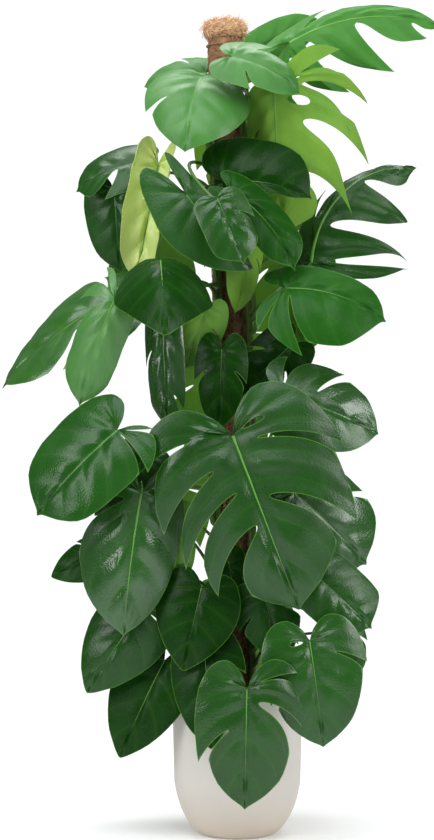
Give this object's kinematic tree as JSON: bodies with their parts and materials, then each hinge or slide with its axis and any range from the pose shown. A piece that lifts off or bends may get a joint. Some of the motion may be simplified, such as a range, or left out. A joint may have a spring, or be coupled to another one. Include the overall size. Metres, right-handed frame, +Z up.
{
  "type": "potted swiss cheese plant",
  "caption": "Climbing swiss cheese plant with split and pierced glossy leaves, tied to a coir pole that stands in a plain white pot of soil.",
  "frame": {"origin": "centre of the pot's underside", "axes": "+Z up along the pole, -Y towards the front that the picture shows, +X to the right seen from the front"},
  "size_m": [0.8373, 0.525, 1.5945],
  "materials": {
    "pot": "matte off-white glaze",
    "soil": "loose dark potting soil",
    "stake": "bare wood",
    "coir": "wrapped coconut fibre",
    "twine": "twisted twine",
    "stem": "green bark with leaf scars",
    "leaf_light": "glossy light green blade",
    "leaf_dark": "glossy dark green blade",
    "leaf_young": "soft lime green blade"
  },
  "bodies": {
    "root": {"pot": "pot", "soil": "soil", "pole_stake": "stake", "coir_wrap": "coir", "coir_roll": "coir", "top_binding": "twine", "stem_left": "stem", "stem_right": "stem", "stem_back": "stem", "tie_low": "twine", "tie_middle": "twine", "tie_high": "twine", "leaf_top_right": "leaf_light", "leaf_top_back_right": "leaf_light", "leaf_top_dome": "leaf_light", "leaf_top_left": "leaf_light", "leaf_top_back_left": "leaf_light", "leaf_high_left": "leaf_dark", "leaf_high_middle_left": "leaf_dark", "leaf_high_middle": "leaf_dark", "leaf_high_middle_dark": "leaf_dark", "leaf_high_middle_low": "leaf_dark", "leaf_high_strip": "leaf_light", "leaf_high_right": "leaf_light", "leaf_right_arching": "leaf_dark", "leaf_right_slit": "leaf_dark", "leaf_behind_centre": "leaf_dark", "leaf_inner_middle": "leaf_dark", "leaf_centre": "leaf_dark", "leaf_centre_right": "leaf_dark", "leaf_low_right_dark": "leaf_dark", "leaf_low_right": "leaf_dark", "leaf_low_right_strip": "leaf_dark", "leaf_bottom_right": "leaf_dark", "leaf_low_middle": "leaf_dark", "leaf_over_pot": "leaf_dark", "leaf_over_pot_left": "leaf_dark", "leaf_low_centre_left": "leaf_dark", "leaf_left_lower": "leaf_dark", "leaf_far_left_dark": "leaf_dark", "leaf_left_large": "leaf_dark", "leaf_left_behind": "leaf_dark", "leaf_far_left_curled": "leaf_dark", "leaf_left_light": "leaf_light", "leaf_heart": "leaf_dark", "leaf_beside_young": "leaf_dark", "leaf_left_folded": "leaf_dark", "leaf_inner_light": "leaf_light", "leaf_low_left": "leaf_dark", "leaf_bottom_left": "leaf_dark", "leaf_lower_light": "leaf_light", "leaf_lower_strip": "leaf_dark", "young_leaf": "leaf_young", "leaf_back_top": "leaf_light", "leaf_back_high_left": "leaf_light", "leaf_back_high_right": "leaf_dark", "leaf_back_middle": "leaf_dark", "leaf_back_low_right": "leaf_dark", "leaf_back_low_left": "leaf_dark", "leaf_back_bottom": "leaf_dark"}
  },
  "joints": []
}
